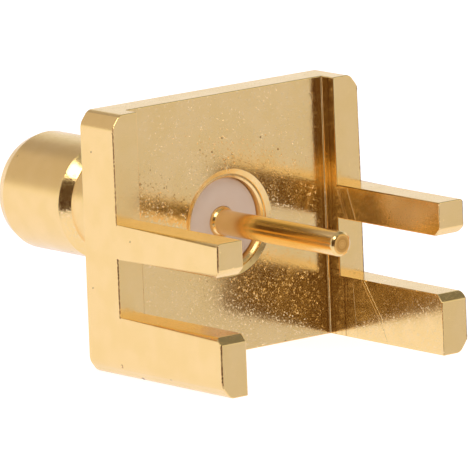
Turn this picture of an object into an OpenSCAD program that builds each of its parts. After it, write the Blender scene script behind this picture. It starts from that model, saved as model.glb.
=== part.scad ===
// Coaxial jack that is soldered over the edge of a circuit board.
// A turned and milled body carries an insulating bead, and the bead carries the centre contact.
// The origin lies on the coaxial axis, in the plane that the board's edge stops against.
// +Y points out of the barrel's mouth, the legs reach towards -Y and +Z points up off the board.

/* [Flange] */
// Width of the flange, from side to side
flange_w = 9.5; // [8.5:0.05:12]
// Height of the flange
flange_h = 7.95; // [7.2:0.05:10]
// Thickness of the flange, in front of the plane that the board stops against
flange_t = 1.55; // [1.2:0.05:3]
// Width of the bevel along each long corner, measured across the flange
corner_w = 0.3; // [0.1:0.02:0.6]
// Height of the same bevel, measured up the flange's side
corner_h = 0.38; // [0.1:0.02:0.7]
// Depth of the channel that is milled into the back face between the legs
channel_depth = 0.55; // [0.2:0.05:0.9]
// Radius that the cutter leaves along the channel's two inner corners
channel_round = 0.05; // [0.03:0.01:0.18]

/* [Legs] */
// Width of each leg, measured across the flange
leg_w = 0.96; // [0.6:0.02:1.5]
// Length of the legs behind the stop plane
leg_l = 4.75; // [3:0.05:8]
// Height of the upper legs
upper_leg_h = 1.04; // [0.6:0.02:1.6]
// Drop from the coaxial axis to the upper face of the board slot
slot_drop = 0.35; // [0.2:0.01:0.5]
// Height of the slot that takes the board
slot_h = 1.77; // [1.1:0.01:2.5]
// Lead-in bevel at the slot's open end
lead_in = 0.22; // [0.1:0.01:0.4]

/* [Barrel] */
// Outside diameter of the barrel
barrel_d = 3.64; // [3.6:0.02:5]
// Length of the barrel in front of the flange
barrel_l = 8.15; // [7:0.05:10]
// Length of the snap ring, from the mouth back to its rear edge
ring_l = 3.2; // [2.8:0.05:3.4]
// Width of the snap groove, with the ring's sloping shoulder
groove_w = 1.1; // [0.8:0.05:1.3]
// Diameter at the bottom of the snap groove
groove_d = 3.12; // [2.9:0.01:3.3]
// Length of the ring's sloping shoulder, down which a plug's fingers close
ring_slope_l = 0.26; // [0.1:0.01:0.4]
// Bevel on the snap ring's rear edge
ring_bevel = 0.04; // [0.02:0.01:0.08]
// Length of the lead-in taper at the barrel's mouth
lead_taper_l = 0.33; // [0.1:0.01:0.5]
// Depth of that taper at its front end
lead_taper_h = 0.12; // [0.04:0.01:0.14]
// Radius of the rounded edge in front of the taper
mouth_round = 0.12; // [0.06:0.01:0.13]
// Diameter of the hollow that the plug enters
socket_d = 2.9; // [2.6:0.02:2.96]
// Depth of that hollow
socket_depth = 2.3; // [1.5:0.05:2.5]
// Bevel round the inside of the mouth
socket_bevel = 0.1; // [0.05:0.01:0.13]

/* [Bore] */
// Outer diameter of the shallow countersink in the back face
sink_d = 3.29; // [3.15:0.01:3.6]
// Depth of the countersink
sink_depth = 0.065; // [0.03:0.005:0.1]
// Diameter of the small land inside the countersink
land_d = 2.98; // [2.9:0.01:3.1]
// Depth of the land
land_depth = 0.035; // [0.02:0.005:0.06]
// Bevel from the land down to the bore
lip_bevel = 0.06; // [0.03:0.005:0.08]
// Diameter of the bore that holds the bead
bore_d = 2.73; // [2.5:0.01:2.76]
// Diameter of the narrower bore through the neck
neck_bore_d = 2.2; // [1.6:0.02:2.3]

/* [Insulating bead] */
// Depth of the bead's back face below the floor of the channel
bead_set = 0.33; // [0.25:0.01:0.5]
// Length of the wide part of the bead
bead_l = 4; // [3:0.05:4.2]
// Bevel on the bead's outer edge at the back
bead_bevel = 0.04; // [0.02:0.01:0.08]
// Clearance all round between the bead and the body
bead_fit = 0.01; // [0.005:0.005:0.03]

/* [Centre contact] */
// Diameter of the solder pin
pin_d = 0.76; // [0.5:0.01:0.8]
// Distance by which the solder pin ends short of the leg tips
pin_short = 0; // [0:0.05:1]
// Bevel at the end of the solder pin
pin_bevel = 0.09; // [0.04:0.01:0.15]
// Diameter of the collar that holds the contact in the bead
collar_d = 1.12; // [1.08:0.01:1.4]
// Length of the collar's straight part
collar_l = 0.8; // [0.6:0.05:1.5]
// Length of the tapered shoulder from the solder pin up to the collar
shoulder_l = 0.45; // [0.3:0.01:0.6]
// Width of the small bevel at the foot of that shoulder
shoulder_step = 0.07; // [0.02:0.01:0.1]
// Length of the shoulder that stands proud of the bead
shoulder_proud = 0.15; // [0.1:0.01:0.2]
// Diameter of the stem between the collar and the mating pin
stem_d = 0.86; // [0.84:0.01:1]
// Diameter of the mating pin
mating_pin_d = 0.51; // [0.4:0.01:0.56]
// Length of the mating pin, from the bead to its tip
mating_pin_l = 1.75; // [1:0.05:2]
// Bevel at the mating pin's tip
tip_bevel = 0.12; // [0.05:0.01:0.16]
// Length of that bevel along the pin
tip_bevel_l = 0.24; // [0.1:0.01:0.4]
// Clearance all round between the contact and the bead
contact_fit = 0.01; // [0.005:0.005:0.03]

/* [Hidden] */

// Fineness of turned shapes, of small rounded corners and of the mouth's rounded edge
turn_fn = 96;
corner_fn = 48;
mouth_steps = 8;
// Overrun that lets a cut break through a face, and a short one where other faces stand close by
over = 1;
skim = 0.05;

gold = [0.86, 0.66, 0.33];
ptfe = [0.95, 0.94, 0.92];

// Heights of the legs and the board slot, from the coaxial axis
slot_top = -slot_drop;
slot_floor = slot_top - slot_h;
upper_leg_top = slot_top + upper_leg_h;

// Stations along +Y, from the stop plane
barrel_end = flange_t + barrel_l;
socket_floor = barrel_end - socket_depth;
ring_start = barrel_end - ring_l;
groove_start = ring_start - groove_w;
sink_end = channel_depth + sink_depth;
land_end = sink_end + land_depth;
lip_end = land_end + lip_bevel;
bead_back = channel_depth + bead_set;
bead_step = bead_back + bead_l;
shoulder_back = bead_back - shoulder_proud;
collar_back = shoulder_back + shoulder_l;
collar_end = collar_back + collar_l;

// Widening of the tapered shoulder for each millimetre along it
taper = (collar_d / 2 - pin_d / 2 - shoulder_step) / (shoulder_l - shoulder_step);

// Revolves a half profile, drawn as radius and station, about the coaxial axis
module turned() {
  rotate([-90, 0, 0]) rotate_extrude($fn = turn_fn) children();
}

// Flange and legs as one squared bar with its four long corners bevelled
module squared_bar() {
  half_w = flange_w / 2;
  half_h = flange_h / 2;
  rotate([90, 0, 0]) translate([0, 0, -flange_t]) linear_extrude(flange_t + leg_l)
    polygon([
      [half_w, half_h - corner_h], [half_w - corner_w, half_h],
      [corner_w - half_w, half_h], [-half_w, half_h - corner_h],
      [-half_w, corner_h - half_h], [corner_w - half_w, -half_h],
      [half_w - corner_w, -half_h], [half_w, corner_h - half_h]
    ]);
}

// Barrel with its snap ring: a sloping shoulder behind it, a lead-in taper and a rounded edge in front
module barrel() {
  r = barrel_d / 2;
  lean = atan(lead_taper_h / lead_taper_l);
  round_r = r - lead_taper_h - mouth_round * cos(lean);
  round_y = barrel_end - mouth_round;
  taper_end = round_y + mouth_round * sin(lean);
  mouth = [
    for (step = [0:mouth_steps]) let (a = lean + (90 - lean) * step / mouth_steps)
      [round_r + mouth_round * cos(a), round_y + mouth_round * sin(a)]
  ];
  turned() polygon(concat([
    [0, flange_t / 2], [r, flange_t / 2], [r, groove_start], [groove_d / 2, groove_start],
    [groove_d / 2, ring_start - ring_slope_l], [r - ring_bevel, ring_start],
    [r, ring_start + ring_bevel], [r, taper_end - lead_taper_l]
  ], mouth, [[0, barrel_end]]));
}

// Channel between the legs, cut right down the back face, with round inner corners
module channel_cut() {
  w = flange_w - 2 * leg_w;
  start = -leg_l - over;
  translate([0, 0, -flange_h / 2 - over]) linear_extrude(flange_h + 2 * over) {
    translate([-w / 2, start]) square([w, channel_depth - channel_round - start]);
    translate([channel_round - w / 2, start]) square([w - 2 * channel_round, channel_depth - start]);
    for (side = [-1, 1])
      translate([side * (w / 2 - channel_round), channel_depth - channel_round])
        circle(channel_round, $fn = corner_fn);
  }
}

// Space above the upper legs
module shoulder_cut() {
  translate([-flange_w / 2 - over, -leg_l - over, upper_leg_top])
    cube([flange_w + 2 * over, leg_l + over, flange_h / 2 - upper_leg_top + over]);
}

// Slot that takes the board, opening out at its lead-in
module board_slot() {
  mouth = lead_in + over;
  translate([-flange_w / 2 - over, 0, 0]) rotate([90, 0, 90]) linear_extrude(flange_w + 2 * over)
    polygon([
      [0, slot_floor], [0, slot_top],
      [lead_in - leg_l, slot_top], [lead_in - leg_l - mouth, slot_top + mouth],
      [lead_in - leg_l - mouth, slot_floor - mouth], [lead_in - leg_l, slot_floor]
    ]);
}

// Stepped bore: countersink, land and lip at the back, the bead's seat, the neck and the plug's hollow
module bore() {
  sink_slope = (sink_d - land_d) / 2 / sink_depth;
  turned() polygon([
    [0, channel_depth - skim], [sink_d / 2 + skim * sink_slope, channel_depth - skim],
    [land_d / 2, sink_end], [land_d / 2, land_end],
    [bore_d / 2 + lip_bevel, land_end], [bore_d / 2, lip_end],
    [bore_d / 2, bead_step], [neck_bore_d / 2, bead_step],
    [neck_bore_d / 2, socket_floor], [socket_d / 2, socket_floor],
    [socket_d / 2, barrel_end - socket_bevel],
    [socket_d / 2 + socket_bevel + over, barrel_end + over], [0, barrel_end + over]
  ]);
}

// Body, turned and milled from one bar
module body() {
  color(gold) difference() {
    union() {
      squared_bar();
      barrel();
    }
    channel_cut();
    shoulder_cut();
    board_slot();
    bore();
  }
}

// Insulating bead with a narrower nose that fills the neck, hollowed to suit the contact's collar
module insulator() {
  r = bore_d / 2 - bead_fit;
  nose_r = neck_bore_d / 2 - bead_fit;
  collar_hole = collar_d / 2 + contact_fit;
  stem_hole = stem_d / 2 + contact_fit;
  color(ptfe) turned() polygon([
    [collar_hole - taper * (collar_back - bead_back), bead_back],
    [r - bead_bevel, bead_back], [r, bead_back + bead_bevel],
    [r, bead_step - bead_fit], [nose_r, bead_step - bead_fit], [nose_r, socket_floor],
    [stem_hole, socket_floor], [stem_hole, collar_end + contact_fit],
    [collar_hole, collar_end + contact_fit], [collar_hole, collar_back]
  ]);
}

// Centre contact: solder pin, tapered shoulder, collar, stem and mating pin
module center_contact() {
  back = pin_short - leg_l;
  tip = socket_floor + mating_pin_l;
  color(gold) turned() polygon([
    [0, back], [pin_d / 2 - pin_bevel, back], [pin_d / 2, back + pin_bevel],
    [pin_d / 2, shoulder_back], [pin_d / 2 + shoulder_step, shoulder_back + shoulder_step],
    [collar_d / 2, collar_back], [collar_d / 2, collar_end], [stem_d / 2, collar_end],
    [stem_d / 2, socket_floor], [mating_pin_d / 2, socket_floor],
    [mating_pin_d / 2, tip - tip_bevel_l], [mating_pin_d / 2 - tip_bevel, tip], [0, tip]
  ]);
}

body();
insulator();
center_contact();
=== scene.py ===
import math

import bmesh
import bpy
from mathutils import Matrix, Vector


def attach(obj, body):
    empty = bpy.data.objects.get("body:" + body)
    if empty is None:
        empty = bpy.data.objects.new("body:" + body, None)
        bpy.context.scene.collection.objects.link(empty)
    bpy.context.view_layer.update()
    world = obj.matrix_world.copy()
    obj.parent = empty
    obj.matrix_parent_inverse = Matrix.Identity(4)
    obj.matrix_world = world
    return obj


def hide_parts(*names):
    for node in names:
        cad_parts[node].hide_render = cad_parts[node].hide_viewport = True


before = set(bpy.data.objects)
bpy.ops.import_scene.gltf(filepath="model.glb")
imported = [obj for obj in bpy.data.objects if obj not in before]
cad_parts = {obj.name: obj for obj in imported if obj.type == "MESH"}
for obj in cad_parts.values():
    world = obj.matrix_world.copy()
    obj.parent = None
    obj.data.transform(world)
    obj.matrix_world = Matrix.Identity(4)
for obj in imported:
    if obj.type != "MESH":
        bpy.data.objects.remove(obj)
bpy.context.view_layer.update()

MM = 0.001

# Flange and legs, as in the part's source, in millimetres
FLANGE_W, FLANGE_H, FLANGE_T = 9.5, 7.95, 1.55
CORNER_W, CORNER_H = 0.3, 0.38
CHANNEL_DEPTH, CHANNEL_ROUND, CHANNEL_ROUND_STEPS = 0.55, 0.05, 12
LEG_W, LEG_L, UPPER_LEG_H = 0.96, 4.75, 1.04
SLOT_DROP, SLOT_H, LEAD_IN = 0.35, 1.77, 0.22
SIDE = FLANGE_W / 2
CHANNEL_WALL = SIDE - LEG_W
SLOT_TOP = -SLOT_DROP
SLOT_FLOOR = SLOT_TOP - SLOT_H
UPPER_LEG_TOP = SLOT_TOP + UPPER_LEG_H

# Barrel
BARREL_D, BARREL_L, RING_L = 3.64, 8.15, 3.2
GROOVE_W, GROOVE_D = 1.1, 3.12
RING_SLOPE_L, RING_BEVEL = 0.26, 0.04
LEAD_TAPER_L, LEAD_TAPER_H = 0.33, 0.12
MOUTH_ROUND, MOUTH_STEPS = 0.12, 8
SOCKET_D, SOCKET_DEPTH, SOCKET_BEVEL = 2.9, 2.3, 0.1
BARREL_END = FLANGE_T + BARREL_L
SOCKET_FLOOR = BARREL_END - SOCKET_DEPTH
RING_START = BARREL_END - RING_L
GROOVE_START = RING_START - GROOVE_W

# Bore
SINK_D, SINK_DEPTH = 3.29, 0.065
LAND_D, LAND_DEPTH = 2.98, 0.035
BORE_D, NECK_BORE_D, LIP_BEVEL = 2.73, 2.2, 0.06
SINK_END = CHANNEL_DEPTH + SINK_DEPTH
LAND_END = SINK_END + LAND_DEPTH
LIP_END = LAND_END + LIP_BEVEL

# Bead and centre contact
BEAD_RECESS, BEAD_BODY_L, BEAD_BEVEL, FIT = 0.33, 4, 0.04, 0.01
PIN_D, PIN_BEVEL = 0.76, 0.09
COLLAR_D, COLLAR_L = 1.12, 0.8
SHOULDER_L, SHOULDER_STEP, SHOULDER_PROUD = 0.45, 0.07, 0.15
STEM_D, MATING_PIN_D, MATING_PIN_L = 0.86, 0.51, 1.75
TIP_BEVEL, TIP_BEVEL_L = 0.12, 0.24
BEAD_BACK = CHANNEL_DEPTH + BEAD_RECESS
BEAD_STEP = BEAD_BACK + BEAD_BODY_L
SHOULDER_BACK = BEAD_BACK - SHOULDER_PROUD
COLLAR_BACK = SHOULDER_BACK + SHOULDER_L
COLLAR_END = COLLAR_BACK + COLLAR_L
TAPER = (COLLAR_D / 2 - PIN_D / 2 - SHOULDER_STEP) / (SHOULDER_L - SHOULDER_STEP)

# Radius within which a face or an edge belongs to the turned part
TURNED_REACH = BARREL_D / 2 + 0.02

# How finely turned shapes are made, and how far a cut runs past a face
TURN_STEPS = 192
OVER, SKIM = 1.0, 0.05

# Widths of the broken edges: the cut ones, the handled ones of the sides, and the bar's own corners
EDGE_BREAK, WORN_EDGE, SOFT_CORNER = 0.03, 0.05, 0.13

# Distances under which points are one, on a turned and on a milled shape
TURNED_WELD, MILLED_WELD = 1e-5, 1e-4

# Degrees of turn: faces under the first are one flat, milled edges over the second are broken, and
# edges over the others are shaded sharp, beside a flat and elsewhere
SAME_FLAT, SHARP_TURN, FLAT_TURN, CRISP_TURN = 0.6, 24, 2, 12

# A flat is a face of more square millimetres than this
FLAT_AREA = 0.5

# The body's finishes, by their place among its materials
INNER, OUTER, TURNED, SINK = range(4)


# Shapes

def prism(outline, start, end, axes):
    """A flat outline drawn from start to end. axes are the ways of its two directions and its length."""
    bm = bmesh.new()
    place = Matrix((axes[0], axes[1], axes[2])).transposed()
    face = bm.faces.new([bm.verts.new(place @ Vector((u, v, start))) for u, v in outline])
    drawn = bmesh.ops.extrude_face_region(bm, geom=[face])
    moved = [v for v in drawn["geom"] if isinstance(v, bmesh.types.BMVert)]
    bmesh.ops.translate(bm, verts=moved, vec=place @ Vector((0, 0, end - start)))
    bmesh.ops.recalc_face_normals(bm, faces=bm.faces)
    return bm


def turned(profile, breaks=0.0, closed=False):
    """A half profile of (radius, station) points spun about the coaxial axis. breaks rounds its corners."""
    bm = bmesh.new()
    verts = [bm.verts.new((r, y, 0)) for r, y in profile]
    edges = [bm.edges.new(pair) for pair in zip(verts, verts[1:])]
    if closed:
        edges.append(bm.edges.new((verts[-1], verts[0])))
    if breaks:
        corners = [v for v in verts if len(v.link_edges) == 2 and v.co.x > 0]
        bmesh.ops.bevel(bm, geom=corners, offset=breaks, offset_type="OFFSET", segments=2,
                        profile=0.5, affect="VERTICES", material=-1, clamp_overlap=True)
    bmesh.ops.spin(bm, geom=bm.verts[:] + bm.edges[:], cent=(0, 0, 0), axis=(0, 1, 0),
                   angle=2 * math.pi, steps=TURN_STEPS, use_merge=True)
    bmesh.ops.remove_doubles(bm, verts=bm.verts, dist=TURNED_WELD)
    bmesh.ops.recalc_face_normals(bm, faces=bm.faces)
    return bm


def as_object(bm, name):
    mesh = bpy.data.meshes.new(name)
    bm.to_mesh(mesh)
    bm.free()
    piece = bpy.data.objects.new(name, mesh)
    bpy.context.scene.collection.objects.link(piece)
    return piece


def machined(blank, steps):
    """The blank with each (operation, tool) of steps carried out on it, as one mesh."""
    for operation, tool in steps:
        step = blank.modifiers.new(operation.lower(), "BOOLEAN")
        step.operation, step.object, step.solver = operation, tool, "EXACT"
    bpy.context.view_layer.update()
    done = blank.evaluated_get(bpy.context.evaluated_depsgraph_get())
    bm = bmesh.new()
    bm.from_mesh(done.data)
    for o in [blank] + [tool for _, tool in steps]:
        bpy.data.objects.remove(o)
    return bm


def break_edges(bm, edges, width, segments):
    bmesh.ops.bevel(bm, geom=edges, offset=width, offset_type="OFFSET", segments=segments,
                    profile=0.5, affect="EDGES", material=-1, clamp_overlap=False)


def radius_of(vert):
    return math.hypot(vert.co.x, vert.co.z)


def shade(bm):
    """Smooths the shading over small turns, and keeps a flat's own edges sharp so that it mirrors true."""
    for edge in bm.edges:
        on_flat = max((face.calc_area() for face in edge.link_faces), default=0) > FLAT_AREA
        limit = math.radians(FLAT_TURN if on_flat else CRISP_TURN)
        edge.smooth = len(edge.link_faces) != 2 or edge.calc_face_angle(0) < limit
    for face in bm.faces:
        face.smooth = True


def finished(bm, name, nodes, materials):
    """Takes a shape in millimetres to its place in the scene as a named piece."""
    shade(bm)
    bmesh.ops.scale(bm, vec=(MM, MM, MM), verts=bm.verts)
    piece = as_object(bm, name)
    for material in materials:
        piece.data.materials.append(material)
    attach(piece, "root")
    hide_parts(*nodes)


def squared_bar():
    w, h = SIDE, FLANGE_H / 2
    outline = [(w, h - CORNER_H), (w - CORNER_W, h), (CORNER_W - w, h), (-w, h - CORNER_H),
               (-w, CORNER_H - h), (CORNER_W - w, -h), (w - CORNER_W, -h), (w, CORNER_H - h)]
    return prism(outline, -LEG_L, FLANGE_T, ((1, 0, 0), (0, 0, 1), (0, 1, 0)))


def barrel():
    r = BARREL_D / 2
    lean = math.atan(LEAD_TAPER_H / LEAD_TAPER_L)
    round_r = r - LEAD_TAPER_H - MOUTH_ROUND * math.cos(lean)
    round_y = BARREL_END - MOUTH_ROUND
    taper_start = round_y + MOUTH_ROUND * math.sin(lean) - LEAD_TAPER_L
    turns = [lean + (math.pi / 2 - lean) * i / MOUTH_STEPS for i in range(MOUTH_STEPS + 1)]
    arc = [(round_r + MOUTH_ROUND * math.cos(a), round_y + MOUTH_ROUND * math.sin(a)) for a in turns]
    profile = [(0, FLANGE_T / 2), (r, FLANGE_T / 2), (r, GROOVE_START), (GROOVE_D / 2, GROOVE_START),
               (GROOVE_D / 2, RING_START - RING_SLOPE_L), (r - RING_BEVEL, RING_START),
               (r, RING_START + RING_BEVEL), (r, taper_start)]
    return turned(profile + arc + [(0, BARREL_END)])


def channel_cutter():
    middle_x, middle_y = CHANNEL_WALL - CHANNEL_ROUND, CHANNEL_DEPTH - CHANNEL_ROUND
    turns = [math.pi / 2 * i / CHANNEL_ROUND_STEPS for i in range(CHANNEL_ROUND_STEPS + 1)]
    arc = [(middle_x + CHANNEL_ROUND * math.cos(a), middle_y + CHANNEL_ROUND * math.sin(a)) for a in turns]
    start = -LEG_L - OVER
    outline = [(CHANNEL_WALL, start)] + arc + [(-x, y) for x, y in reversed(arc)] + [(-CHANNEL_WALL, start)]
    return prism(outline, -FLANGE_H, FLANGE_H, ((1, 0, 0), (0, 1, 0), (0, 0, 1)))


def shoulder_cutter():
    outline = [(-LEG_L - OVER, UPPER_LEG_TOP), (0, UPPER_LEG_TOP), (0, FLANGE_H), (-LEG_L - OVER, FLANGE_H)]
    return prism(outline, -FLANGE_W, FLANGE_W, ((0, 1, 0), (0, 0, 1), (1, 0, 0)))


def board_slot_cutter():
    mouth = LEAD_IN + OVER
    outline = [(0, SLOT_FLOOR), (0, SLOT_TOP), (LEAD_IN - LEG_L, SLOT_TOP),
               (LEAD_IN - LEG_L - mouth, SLOT_TOP + mouth),
               (LEAD_IN - LEG_L - mouth, SLOT_FLOOR - mouth), (LEAD_IN - LEG_L, SLOT_FLOOR)]
    return prism(outline, -FLANGE_W, FLANGE_W, ((0, 1, 0), (0, 0, 1), (1, 0, 0)))


def bore_cutter():
    slope = (SINK_D - LAND_D) / 2 / SINK_DEPTH
    return turned([
        (0, CHANNEL_DEPTH - SKIM), (SINK_D / 2 + SKIM * slope, CHANNEL_DEPTH - SKIM),
        (LAND_D / 2, SINK_END), (LAND_D / 2, LAND_END),
        (BORE_D / 2 + LIP_BEVEL, LAND_END), (BORE_D / 2, LIP_END),
        (BORE_D / 2, BEAD_STEP), (NECK_BORE_D / 2, BEAD_STEP),
        (NECK_BORE_D / 2, SOCKET_FLOOR), (SOCKET_D / 2, SOCKET_FLOOR),
        (SOCKET_D / 2, BARREL_END - SOCKET_BEVEL),
        (SOCKET_D / 2 + SOCKET_BEVEL + OVER, BARREL_END + OVER), (0, BARREL_END + OVER)])


def body_shape():
    """The bar with its barrel, cut as a mill would, its edges broken, and each face's finish chosen."""
    blank = as_object(squared_bar(), "blank")
    steps = [("UNION", as_object(barrel(), "barrel")),
             ("DIFFERENCE", as_object(channel_cutter(), "channel")),
             ("DIFFERENCE", as_object(shoulder_cutter(), "shoulder")),
             ("DIFFERENCE", as_object(board_slot_cutter(), "slot")),
             ("DIFFERENCE", as_object(bore_cutter(), "bore"))]
    bm = machined(blank, steps)
    bmesh.ops.remove_doubles(bm, verts=bm.verts, dist=MILLED_WELD)
    bmesh.ops.dissolve_limit(bm, angle_limit=math.radians(SAME_FLAT), verts=bm.verts, edges=bm.edges)
    break_edges(bm, [e for e in sharp_edges(bm) if is_outer_corner(e)], SOFT_CORNER, 4)
    break_edges(bm, [e for e in sharp_edges(bm) if is_upright_side_edge(e)], WORN_EDGE, 3)
    break_edges(bm, sharp_edges(bm), EDGE_BREAK, 3)
    for vert in bm.verts:
        vert.co.x = max(-SIDE, min(SIDE, vert.co.x))
        vert.co.y = max(-LEG_L, min(BARREL_END, vert.co.y))
    for face in bm.faces:
        face.material_index = body_finish(face)
    return bm


def sharp_edges(bm):
    """Sharp outward edges of the milled part. The turned part has its bevels in its profile."""
    turn = math.radians(SHARP_TURN)
    return [e for e in bm.edges if len(e.link_faces) == 2 and e.is_convex and e.calc_face_angle(0) > turn
            and all(radius_of(v) > TURNED_REACH for v in e.verts)]


def runs_along(edge, axis):
    a, b = (v.co for v in edge.verts)
    return abs(a[axis] - b[axis]) > 0.9 * (a - b).length


def is_outer_corner(edge):
    """Long edges of the bar itself, which tumbling has softened more than the cut ones."""
    return runs_along(edge, 1) and all(abs(v.co.x) > SIDE - CORNER_W - 0.05 for v in edge.verts)


def is_upright_side_edge(edge):
    """Upright edges of the two sides behind the flange's front, which handling has rounded more."""
    at_side = all(abs(v.co.x) > SIDE - 0.02 and v.co.y < FLANGE_T / 2 for v in edge.verts)
    return at_side and runs_along(edge, 2)


def body_finish(face):
    """Which finish a face has. The ring's slope is as bright as the channel."""
    middle = face.calc_center_median()
    if max(radius_of(v) for v in face.verts) < TURNED_REACH:
        if RING_START - RING_SLOPE_L < middle.y < RING_START:
            return INNER
        return SINK if CHANNEL_DEPTH < middle.y < SINK_END else TURNED
    between_legs = abs(middle.x) < CHANNEL_WALL + 0.01 and middle.y < CHANNEL_DEPTH + 0.01
    return INNER if between_legs and abs(middle.z) < FLANGE_H / 2 - 0.001 else OUTER


def bead_shape():
    r, nose = BORE_D / 2 - FIT, NECK_BORE_D / 2 - FIT
    collar, stem = COLLAR_D / 2 + FIT, STEM_D / 2 + FIT
    return turned([
        (collar - TAPER * (COLLAR_BACK - BEAD_BACK), BEAD_BACK),
        (r - BEAD_BEVEL, BEAD_BACK), (r, BEAD_BACK + BEAD_BEVEL),
        (r, BEAD_STEP - FIT), (nose, BEAD_STEP - FIT), (nose, SOCKET_FLOOR),
        (stem, SOCKET_FLOOR), (stem, COLLAR_END + FIT), (collar, COLLAR_END + FIT),
        (collar, COLLAR_BACK)], closed=True)


def contact_shape():
    pin, tip = PIN_D / 2, SOCKET_FLOOR + MATING_PIN_L
    mating = MATING_PIN_D / 2
    return turned([
        (0, -LEG_L), (pin - PIN_BEVEL, -LEG_L), (pin, PIN_BEVEL - LEG_L),
        (pin, SHOULDER_BACK), (pin + SHOULDER_STEP, SHOULDER_BACK + SHOULDER_STEP),
        (COLLAR_D / 2, COLLAR_BACK), (COLLAR_D / 2, COLLAR_END),
        (STEM_D / 2, COLLAR_END), (STEM_D / 2, SOCKET_FLOOR), (mating, SOCKET_FLOOR),
        (mating, tip - TIP_BEVEL_L), (mating - TIP_BEVEL, tip), (0, tip)], breaks=EDGE_BREAK)


# Materials

def node(tree, kind, inputs=(), **settings):
    """A node with its settings, and its inputs set to values or joined to other nodes' sockets."""
    made = tree.nodes.new(kind)
    for name, value in settings.items():
        setattr(made, name, value)
    for name, value in dict(inputs).items():
        if isinstance(value, bpy.types.NodeSocket):
            tree.links.new(value, made.inputs[name])
        else:
            made.inputs[name].default_value = value
    return made


def math_node(tree, operation, *values, clamp=False):
    return node(tree, "ShaderNodeMath", dict(enumerate(values)), operation=operation,
                use_clamp=clamp).outputs[0]


def vector_node(tree, operation, *values, output="Vector"):
    return node(tree, "ShaderNodeVectorMath", dict(enumerate(values)), operation=operation).outputs[output]


def scaled(tree, vector, scale):
    return node(tree, "ShaderNodeVectorMath", {0: vector, "Scale": scale}, operation="SCALE").outputs[0]


def split(tree, vector):
    return node(tree, "ShaderNodeSeparateXYZ", {0: vector}).outputs


def joined(tree, **parts):
    return node(tree, "ShaderNodeCombineXYZ", parts).outputs[0]


def eased(tree, value, low, high, out_low=0.0, out_high=1.0):
    """Goes smoothly from out_low to out_high as value goes from low to high."""
    return node(tree, "ShaderNodeMapRange", {
        "Value": value, "From Min": low, "From Max": high, "To Min": out_low, "To Max": out_high,
    }, interpolation_type="SMOOTHSTEP").outputs["Result"]


def mixed(tree, factor, a, b):
    return node(tree, "ShaderNodeMix", {0: factor, 2: a, 3: b}, data_type="FLOAT").outputs[0]


def mixed_colour(tree, factor, a, b):
    return node(tree, "ShaderNodeMix", {0: factor, 6: a, 7: b}, data_type="RGBA").outputs[2]


def new_group(name, inputs, outputs):
    """An empty shader node group. inputs are (name, default) pairs; a default of None is a vector."""
    group = bpy.data.node_groups.new(name, "ShaderNodeTree")
    for title, value in inputs:
        kind = "NodeSocketVector" if value is None else "NodeSocketFloat"
        socket = group.interface.new_socket(title, in_out="INPUT", socket_type=kind)
        if value is not None:
            socket.default_value = value
    for title in outputs:
        group.interface.new_socket(title, in_out="OUTPUT", socket_type="NodeSocketFloat")
    return group, group.nodes.new("NodeGroupInput").outputs, group.nodes.new("NodeGroupOutput").inputs


def tool_lines_group():
    """Fine parallel lines that a cutter leaves. They run along the vector's Z."""
    group, given, put = new_group("tool lines", (("Vector", None), ("Per mm", 12), ("Breaks per mm", 0.15)),
                                  ("Lines",))
    stretch = joined(group, X=given["Per mm"], Y=given["Per mm"], Z=given["Breaks per mm"])
    at = vector_node(group, "MULTIPLY", given["Vector"], stretch)
    noise = node(group, "ShaderNodeTexNoise", {"Vector": at, "Scale": 1, "Detail": 3, "Roughness": 0.65})
    group.links.new(noise.outputs["Fac"], put["Lines"])
    return group


def grain_group():
    """The fine grain of electroplated metal, with a coarser swell under it."""
    group, given, put = new_group("plating grain", (("Vector", None), ("Per mm", 16), ("Swell per mm", 1.2)),
                                  ("Grain", "Swell"))
    fine = node(group, "ShaderNodeTexNoise", {"Vector": given["Vector"], "Scale": given["Per mm"],
                                              "Detail": 2, "Roughness": 0.55})
    swell = node(group, "ShaderNodeTexNoise", {"Vector": given["Vector"], "Scale": given["Swell per mm"],
                                               "Detail": 2, "Roughness": 0.5})
    group.links.new(fine.outputs["Fac"], put["Grain"])
    group.links.new(swell.outputs["Fac"], put["Swell"])
    return group


def specks_group():
    """Scattered small pits. Share is how many of the cells hold one."""
    group, given, put = new_group("specks", (("Vector", None), ("Per mm", 3), ("Share", 0.1), ("Size", 0.1)),
                                  ("Specks",))
    cells = node(group, "ShaderNodeTexVoronoi", {"Vector": given["Vector"], "Scale": given["Per mm"]})
    drawn = node(group, "ShaderNodeSeparateColor", {0: cells.outputs["Color"]}).outputs[0]
    chosen = math_node(group, "LESS_THAN", drawn, given["Share"])
    core = math_node(group, "MULTIPLY", given["Size"], 0.5)
    dot = eased(group, cells.outputs["Distance"], core, given["Size"], 1, 0)
    group.links.new(math_node(group, "MULTIPLY", chosen, dot), put["Specks"])
    return group


def facets_group():
    """The crystal grain of the plate: small facets that each tilt their own way, a few of them steeply."""
    group, given, put = new_group("crystal facets", (("Vector", None), ("Per mm", 24)), ("Facets", "Steep"))
    cells = node(group, "ShaderNodeTexVoronoi", {"Vector": given["Vector"], "Scale": given["Per mm"]}).outputs
    from_middle = vector_node(group, "SUBTRACT", given["Vector"], cells["Position"])
    tilt = vector_node(group, "SUBTRACT", cells["Color"], (0.5, 0.5, 0.5))
    plane = vector_node(group, "DOT_PRODUCT", tilt, from_middle, output="Value")
    drawn = node(group, "ShaderNodeSeparateColor", {0: cells["Color"]}).outputs["Blue"]
    few = math_node(group, "POWER", drawn, 6.0)
    steep = math_node(group, "ADD", math_node(group, "MULTIPLY", few, 5.0), 0.2)
    group.links.new(math_node(group, "MULTIPLY", plane, steep), put["Facets"])
    group.links.new(few, put["Steep"])
    return group


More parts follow.
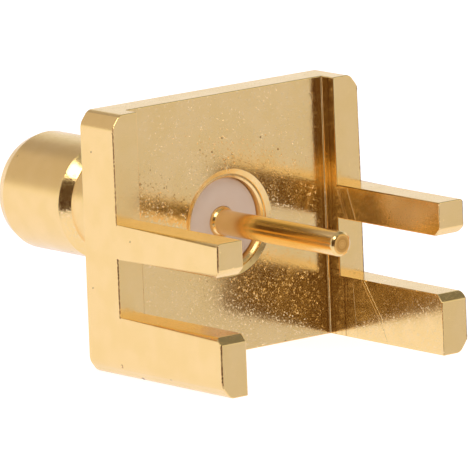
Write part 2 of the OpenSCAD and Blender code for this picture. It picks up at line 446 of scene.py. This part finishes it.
# Places of single marks on the body, in millimetres. A pit has its middle and radius.
PITS = (
    ((-0.553, CHANNEL_DEPTH, 2.247), 0.035), ((-0.148, CHANNEL_DEPTH, 2.616), 0.03),
    ((0.213, CHANNEL_DEPTH, 2.077), 0.025), ((-1.01, CHANNEL_DEPTH, 2.373), 0.025),
    ((-SIDE, 1.056, 2.787), 0.035), ((-SIDE, -0.641, 0.272), 0.03),
    ((-SIDE, 1.233, -1.354), 0.03), ((-4.51, -0.71, -3.905), 0.08))

# A scratch has its two ends and its width. All are on the right wall of the channel.
SCRATCHES = (
    ((CHANNEL_WALL, -0.05, 0.5), (CHANNEL_WALL, -0.36, -0.3), 0.03),
    ((CHANNEL_WALL, -0.12, 0.55), (CHANNEL_WALL, -0.45, -0.3), 0.02),
    ((CHANNEL_WALL, -0.5, 0.6), (CHANNEL_WALL, -0.85, -0.3), 0.035),
    ((CHANNEL_WALL, -1.0, -2.1), (CHANNEL_WALL, -1.8, -3.25), 0.03),
    ((CHANNEL_WALL, -1.16, -2.15), (CHANNEL_WALL, -1.95, -3.25), 0.022),
    ((CHANNEL_WALL, -1.85, -3.3), (CHANNEL_WALL, -2.15, -3.95), 0.015),
    ((CHANNEL_WALL, -0.6, -2.3), (CHANNEL_WALL, -0.7, -3.6), 0.015))


def single_marks_group():
    """The pits, nicks and scratches of this one body, each at its own place."""
    group, given, put = new_group("single marks", (("Vector", None),), ("Pits", "Scratches"))
    pits = scratches = 0.0
    for place, radius in PITS:
        away = vector_node(group, "DISTANCE", given["Vector"], place, output="Value")
        pits = math_node(group, "MAXIMUM", pits, eased(group, away, radius, radius * 0.4))
    for start, end, width in SCRATCHES:
        along = Vector(end) - Vector(start)
        from_start = vector_node(group, "SUBTRACT", given["Vector"], start)
        share = vector_node(group, "DOT_PRODUCT", from_start, along / along.length_squared, output="Value")
        nearest = scaled(group, along, math_node(group, "ADD", share, 0.0, clamp=True))
        away = vector_node(group, "DISTANCE", from_start, nearest, output="Value")
        scratches = math_node(group, "MAXIMUM", scratches, eased(group, away, width, width * 0.3))
    group.links.new(pits, put["Pits"])
    group.links.new(scratches, put["Scratches"])
    return group


TOOL_LINES = tool_lines_group()
GRAIN = grain_group()
SPECKS = specks_group()
FACETS = facets_group()
SINGLE_MARKS = single_marks_group()


def use(tree, group, **inputs):
    """Places a group in a material. Underscores in the inputs' names stand for spaces."""
    named = {name.replace("_", " "): value for name, value in inputs.items()}
    return node(tree, "ShaderNodeGroup", named, node_tree=group).outputs


def in_millimetres(tree):
    """The piece's own coordinates, in millimetres."""
    return scaled(tree, node(tree, "ShaderNodeTexCoord").outputs["Object"], 1 / MM)


def new_material(name):
    material = bpy.data.materials.new(name)
    material.use_nodes = True
    tree = material.node_tree
    return material, tree, tree.nodes["Principled BSDF"]


def relief(tree, *layers):
    """A normal from (pattern, height in millimetres) layers."""
    height = None
    for pattern, depth in layers:
        part = math_node(tree, "MULTIPLY", pattern, depth)
        height = part if height is None else math_node(tree, "ADD", height, part)
    return node(tree, "ShaderNodeBump", {"Height": height, "Strength": 1, "Distance": MM}).outputs["Normal"]


def turned_coordinates(tree, at):
    """Station and radius, so that a pattern runs round the coaxial axis."""
    place = split(tree, at)
    radius = vector_node(tree, "LENGTH", joined(tree, X=place["X"], Z=place["Z"]), output="Value")
    return joined(tree, X=place["Y"], Y=radius)


PALE_GOLD = (1.0, 0.705, 0.29, 1)
DEEP_GOLD = (0.98, 0.685, 0.265, 1)
BARE_COPPER = (0.92, 0.52, 0.14, 1)
COPPER_RING = (0.68, 0.35, 0.08, 1)
DARK_PIT = (0.25, 0.13, 0.05, 1)
# Painted glint: the pale colour that the steep facets of the plate are given in place of highlights
PAINTED_GLINT = (1.0, 0.84, 0.56, 1)
# Painted shade: a brown laid on the side edges' bevels as their dark reflection, and along the tool lines in
# the channel's corners
PAINTED_SHADE_BROWN = (0.5, 0.26, 0.09, 1)
# The bead's warm peach is painted light bounced from the gold round it, on a white plastic; the mottle
# between the two tones is its own
BEAD_PALE = (0.98, 0.79, 0.65, 1)
BEAD_DEEP = (0.95, 0.75, 0.61, 1)

# Heights of the marks' relief in millimetres, and the size of a speck
PIT_HEIGHT, SCRATCH_HEIGHT, SPECK_SIZE = -0.01, -0.012, 0.09


def near_channel_corner(tree, at):
    """Rises to 1 in the channel's two corners, where the tool lines are cut deeper and brown shade is painted
    along them.
    """
    place = split(tree, at)
    near = eased(tree, math_node(tree, "ABSOLUTE", place["X"]), CHANNEL_WALL - 0.55, CHANNEL_WALL - 0.05)
    inside = eased(tree, place["Y"], -1.1, -0.1)
    return math_node(tree, "MULTIPLY", near, inside)


def looking_across(tree):
    """How far a face looks along X, to either side."""
    looks = node(tree, "ShaderNodeNewGeometry").outputs["True Normal"]
    return math_node(tree, "ABSOLUTE", split(tree, looks)["X"])


def on_dark_edge_reflection(tree, at, grain):
    """A painted dark reflection, as a broken brown line on the upright side edges, at the stop plane and the
    leg tips.
    """
    place = split(tree, at)
    side = eased(tree, math_node(tree, "ABSOLUTE", place["X"]), SIDE - 0.055, SIDE - 0.035)
    on_edge = math_node(tree, "MULTIPLY", side, eased(tree, looking_across(tree), 0.985, 0.97))
    from_stop = math_node(tree, "ABSOLUTE", place["Y"])
    from_tip = math_node(tree, "ABSOLUTE", math_node(tree, "ADD", place["Y"], LEG_L))
    close = eased(tree, math_node(tree, "MINIMUM", from_stop, from_tip), 0.05, 0.03)
    broken = math_node(tree, "MULTIPLY", close, eased(tree, grain, 0.4, 0.56))
    return math_node(tree, "MULTIPLY", on_edge, broken)


def facing_back(tree, value):
    """The value on faces that look along Y or slope, and less of it on the walls that look along X."""
    return math_node(tree, "MULTIPLY", value, eased(tree, looking_across(tree), 0.98, 0.9, 0.45, 1))


def gold_plate(name, rough, lines_mm=0.0, grain_mm=0.0, swell_mm=0.0, tilt=0.0, per_mm=12,
               turned_lines=False, specks=0.1, deep_lines_and_shade=0.0, painted_glints=0.0, dark_edge_line=False):
    """Gold plate over tool marks. The _mm values are the heights of its relief, and tilt that of its facets.

    specks is the share of cells that hold one. The two after it are how much deeper the lines are in the
    channel's corners, with brown shade painted along them there, and how pale its steep facets are painted as
    glints. The last one paints a dark reflection on the side edges as a broken brown line.
    """
    material, tree, shader = new_material(name)
    at = in_millimetres(tree)
    lines_at = turned_coordinates(tree, at) if turned_lines else at
    lines = use(tree, TOOL_LINES, Vector=lines_at, Per_mm=per_mm)["Lines"]
    grain = use(tree, GRAIN, Vector=at)
    facets = use(tree, FACETS, Vector=at)
    dots = use(tree, SPECKS, Vector=at, Share=specks, Size=SPECK_SIZE)["Specks"]
    marks = use(tree, SINGLE_MARKS, Vector=at)
    tilts = facing_back(tree, tilt)
    colour = mixed_colour(tree, eased(tree, grain["Swell"], 0.35, 0.65), PALE_GOLD, DEEP_GOLD)
    # Painted glint: steep facets are painted pale, as sparkles
    if painted_glints:
        pale = math_node(tree, "MULTIPLY", facets["Steep"], painted_glints)
        colour = mixed_colour(tree, pale, colour, PAINTED_GLINT)
    # Painted dark reflection: a broken brown line on the bevels of the side edges
    if dark_edge_line:
        colour = mixed_colour(tree, on_dark_edge_reflection(tree, at, grain["Grain"]), colour, PAINTED_SHADE_BROWN)
    # Deeper tool lines in the channel's corners, with painted brown shade along them
    if deep_lines_and_shade:
        corner = near_channel_corner(tree, at)
        painted_corner_shade = math_node(tree, "MULTIPLY", corner, eased(tree, lines, 0.48, 0.36, 0, 0.6))
        colour = mixed_colour(tree, painted_corner_shade, colour, PAINTED_SHADE_BROWN)
        lines = math_node(tree, "MULTIPLY", lines, eased(tree, corner, 0, 1, 1, deep_lines_and_shade))
        tilts = math_node(tree, "MULTIPLY", tilts, eased(tree, corner, 0, 1, 1, 0.3))
    dark = math_node(tree, "MAXIMUM", dots, marks["Pits"])
    colour = mixed_colour(tree, dark, colour, DARK_PIT)
    roughness = eased(tree, grain["Swell"], 0.3, 0.7, rough * 0.9, rough * 1.1)
    normal = relief(tree, (lines, lines_mm), (grain["Grain"], grain_mm), (grain["Swell"], swell_mm),
                    (facets["Facets"], tilts), (dark, PIT_HEIGHT), (marks["Scratches"], SCRATCH_HEIGHT))
    tree.links.new(colour, shader.inputs["Base Color"])
    tree.links.new(roughness, shader.inputs["Roughness"])
    tree.links.new(normal, shader.inputs["Normal"])
    shader.inputs["Metallic"].default_value = 1
    return material


def bare_end(material):
    """Lets the bare copper of the cut end show through at the tip of the solder pin."""
    tree = material.node_tree
    shader = tree.nodes["Principled BSDF"]
    plate = shader.inputs["Base Color"].links[0].from_socket
    at = in_millimetres(tree)
    at_end = eased(tree, split(tree, at)["Y"], 0.03 - LEG_L, 0.01 - LEG_L)
    rings = use(tree, TOOL_LINES, Vector=turned_coordinates(tree, at), Per_mm=14)["Lines"]
    copper = mixed_colour(tree, eased(tree, rings, 0.4, 0.65), BARE_COPPER, COPPER_RING)
    tree.links.new(mixed_colour(tree, at_end, plate, copper), shader.inputs["Base Color"])
    return material


def bead_plastic():
    material, tree, shader = new_material("bead plastic")
    at = in_millimetres(tree)
    lines = use(tree, TOOL_LINES, Vector=turned_coordinates(tree, at), Per_mm=9)["Lines"]
    swell = use(tree, GRAIN, Vector=at)["Swell"]
    # Peach tones that hold painted warm bounce light from the gold
    colour = mixed_colour(tree, eased(tree, swell, 0.35, 0.65), BEAD_PALE, BEAD_DEEP)
    tree.links.new(colour, shader.inputs["Base Color"])
    tree.links.new(relief(tree, (lines, 0.002)), shader.inputs["Normal"])
    shader.inputs["Roughness"].default_value = 0.45
    return material


inner_gold = gold_plate("brushed gold", rough=0.15, lines_mm=0.0005, grain_mm=0.0008, swell_mm=0.0015,
                        tilt=0.038, specks=0.05, deep_lines_and_shade=5, painted_glints=0.3)
outer_gold = gold_plate("satin gold", rough=0.2, grain_mm=0.0008, swell_mm=0.003, tilt=0.03, per_mm=6,
                        dark_edge_line=True)
turned_gold = gold_plate("turned gold", rough=0.24, lines_mm=0.001, grain_mm=0.001, swell_mm=0.001,
                         tilt=0.03, turned_lines=True)
sink_gold = gold_plate("countersunk gold", rough=0.3, lines_mm=0.001, grain_mm=0.002, swell_mm=0.001,
                       tilt=0.12, turned_lines=True)
contact_gold = bare_end(gold_plate("contact gold", rough=0.2, lines_mm=0.0003, grain_mm=0.0003,
                                   turned_lines=True, specks=0.0))

body_golds = [inner_gold, outer_gold, turned_gold, sink_gold]
finished(body_shape(), "machined_body", ["body"], body_golds)
finished(bead_shape(), "insulating_bead", ["insulator"], [bead_plastic()])
finished(contact_shape(), "turned_contact", ["center_contact"], [contact_gold])


# Floor, light and camera

FLOOR_Z, FLOOR_GAP, FLOOR_RADIUS = -FLANGE_H / 2 * MM, 1e-6, 0.4
FLOOR_GREY, FLOOR_GLOW = 0.8, 0.75

# Ways out from the object into the tent, and the colour of its dark opening
TO_OPENING = (-0.5, -0.866, 0)
TO_DARK_BACK = (0.13, 0.766, 0.63)
TO_DARK_ABOVE_PIN = (-0.1, -0.766, 0.6)
TO_DARK_RIGHT = (0.616, -0.185, 0.766)
TO_PALE_RIGHT = (0.616, -0.766, 0.22)
OPENING_COLOUR = (0.08, 0.043, 0.018, 1)
COOL_TINT, WARM_TINT = (1, 0.99, 1.16), (1.08, 0.98, 0.98)

# Lens and sensor in millimetres, the camera's place, and the ways to its picture's right and top
LENS, SENSOR = 693.9, 36
CAMERA_PLACE = Vector((-0.167674, -0.207978, 0.049921))
PICTURE_RIGHT = Vector((0.77388, -0.63219, -0.03793))
PICTURE_UP = Vector((0.14582, 0.11958, 0.98206))


def studio_floor():
    """A pale disk, white to the camera, that takes the shadow. Reflections and views from below pass it."""
    bm = bmesh.new()
    bmesh.ops.create_circle(bm, cap_ends=True, segments=64, radius=FLOOR_RADIUS)
    floor = as_object(bm, "floor")
    floor.location.z = FLOOR_Z - FLOOR_GAP
    material = bpy.data.materials.new("pale floor")
    material.use_nodes = True
    tree = material.node_tree
    tree.nodes.clear()
    grey = (FLOOR_GREY, FLOOR_GREY, FLOOR_GREY, 1)
    diffuse = node(tree, "ShaderNodeBsdfDiffuse", {"Color": grey}).outputs[0]
    glow = node(tree, "ShaderNodeEmission", {"Strength": FLOOR_GLOW}).outputs[0]
    shown = node(tree, "ShaderNodeAddShader", {0: diffuse, 1: glow}).outputs[0]
    path = node(tree, "ShaderNodeLightPath").outputs
    by_ray = node(tree, "ShaderNodeMixShader", {0: path["Is Camera Ray"], 1: diffuse, 2: shown}).outputs[0]
    clear = node(tree, "ShaderNodeBsdfTransparent").outputs[0]
    behind = node(tree, "ShaderNodeNewGeometry").outputs["Backfacing"]
    open_to = math_node(tree, "MAXIMUM", path["Is Glossy Ray"], behind)
    whole = node(tree, "ShaderNodeMixShader", {0: open_to, 1: by_ray, 2: clear}).outputs[0]
    node(tree, "ShaderNodeOutputMaterial", {"Surface": whole})
    floor.data.materials.append(material)


def patch(tree, way, level, middle, rim, core, inside):
    """A round patch of the tent. rim and core are the cosines of its edge and of its full strength."""
    near = vector_node(tree, "DOT_PRODUCT", way, Vector(middle).normalized(), output="Value")
    return mixed(tree, eased(tree, near, rim, core), level, inside)


def tent_level(tree, way):
    """How bright the tent is each way: pale below and at the sides, dimmer above, with four round patches."""
    x, y, z = split(tree, way)
    front_right = math_node(tree, "MULTIPLY", eased(tree, y, -0.1, -0.6), eased(tree, x, -0.4, 0.3))
    low = mixed(tree, front_right, 1.0, 0.68)
    low = mixed(tree, eased(tree, z, -0.25, -0.45), low, 1.0)
    right = mixed(tree, eased(tree, z, 0.35, 0.5), 0.88, 0.6)
    high = mixed(tree, eased(tree, x, 0.2, 0.5), 0.58, right)
    high = mixed(tree, eased(tree, y, -0.1, -0.5), high, 0.7)
    level = mixed(tree, eased(tree, z, 0.08, 0.22), low, high)
    level = patch(tree, way, level, TO_DARK_BACK, 0.965, 0.995, 0.4)
    level = mixed(tree, eased(tree, z, 0.68, 0.78), level, 0.38)
    level = patch(tree, way, level, TO_DARK_ABOVE_PIN, 0.93, 0.97, 0.22)
    level = patch(tree, way, level, TO_DARK_RIGHT, 0.93, 0.98, 0.2)
    return patch(tree, way, level, TO_PALE_RIGHT, 0.95, 0.985, 0.84)


def in_opening(tree, way):
    """The dark opening round the camera. The table's edge cuts it off below, and the tent at the right."""
    x, _, z = split(tree, way)
    toward = vector_node(tree, "DOT_PRODUCT", way, TO_OPENING, output="Value")
    above_table = math_node(tree, "MULTIPLY", eased(tree, toward, 0.68, 0.76), eased(tree, z, -0.32, -0.23))
    left_of_tent = eased(tree, math_node(tree, "SUBTRACT", x, z), 0.05, -0.1)
    return math_node(tree, "MULTIPLY", above_table, left_of_tent)


def studio_world():
    """White to the camera. Metal mirrors a pale tent, cool below the horizon and warm high at the back."""
    world = bpy.data.worlds.new("studio")
    world.use_nodes = True
    bpy.context.scene.world = world
    tree = world.node_tree
    tree.nodes.clear()
    way = node(tree, "ShaderNodeTexCoord").outputs["Generated"]
    x, y, z = split(tree, way)
    level = tent_level(tree, way)
    behind = math_node(tree, "MULTIPLY", eased(tree, y, -0.5, -0.1), eased(tree, x, 0.5, 0.2))
    high_behind = math_node(tree, "MULTIPLY", behind, eased(tree, z, 0.08, 0.22))
    cool, warm = (vector_node(tree, "MULTIPLY", level, tint) for tint in (COOL_TINT, WARM_TINT))
    tent = mixed_colour(tree, eased(tree, z, 0.12, 0), level, cool)
    tent = mixed_colour(tree, high_behind, tent, warm)
    tent = mixed_colour(tree, in_opening(tree, way), tent, OPENING_COLOUR)
    in_metal = node(tree, "ShaderNodeBackground", {"Color": tent}).outputs[0]
    white = node(tree, "ShaderNodeBackground", {"Color": (1, 1, 1, 1)}).outputs[0]
    by_camera = node(tree, "ShaderNodeLightPath").outputs["Is Camera Ray"]
    whole = node(tree, "ShaderNodeMixShader", {0: by_camera, 1: in_metal, 2: white}).outputs[0]
    node(tree, "ShaderNodeOutputWorld", {"Surface": whole})


def soft_lamp(name, way, distance, width, radiance, in_metal=True):
    """A round soft lamp out on the way given, facing the object. in_metal lets the metal mirror it."""
    place = Vector(way).normalized() * distance
    lamp = bpy.data.lights.new(name, "AREA")
    lamp.shape, lamp.size = "DISK", width
    lamp.energy = radiance * (math.pi * width / 2) ** 2
    holder = bpy.data.objects.new(name, lamp)
    holder.location = place
    holder.visible_glossy = in_metal
    holder.rotation_euler = (-place).to_track_quat("-Z", "Y").to_euler()
    bpy.context.scene.collection.objects.link(holder)


def camera():
    """The camera at the photograph's view: far off, with a long lens, as there."""
    lens = bpy.data.cameras.new("camera")
    lens.lens, lens.sensor_width = LENS, SENSOR
    lens.clip_start, lens.clip_end = 0.01, 2
    holder = bpy.data.objects.new("camera", lens)
    turn = Matrix((PICTURE_RIGHT, PICTURE_UP, PICTURE_RIGHT.cross(PICTURE_UP)))
    place = turn.transposed().to_4x4()
    place.translation = CAMERA_PLACE
    holder.matrix_world = place
    bpy.context.scene.collection.objects.link(holder)
    bpy.context.scene.camera = holder


studio_floor()
studio_world()
soft_lamp("key", way=(-0.46, -0.49, 0.74), distance=0.3, width=0.13, radiance=4)
soft_lamp("fill", way=(-0.3, -0.9, 0.3), distance=0.3, width=0.2, radiance=1, in_metal=False)
camera()
bpy.context.scene.view_settings.view_transform = "Standard"
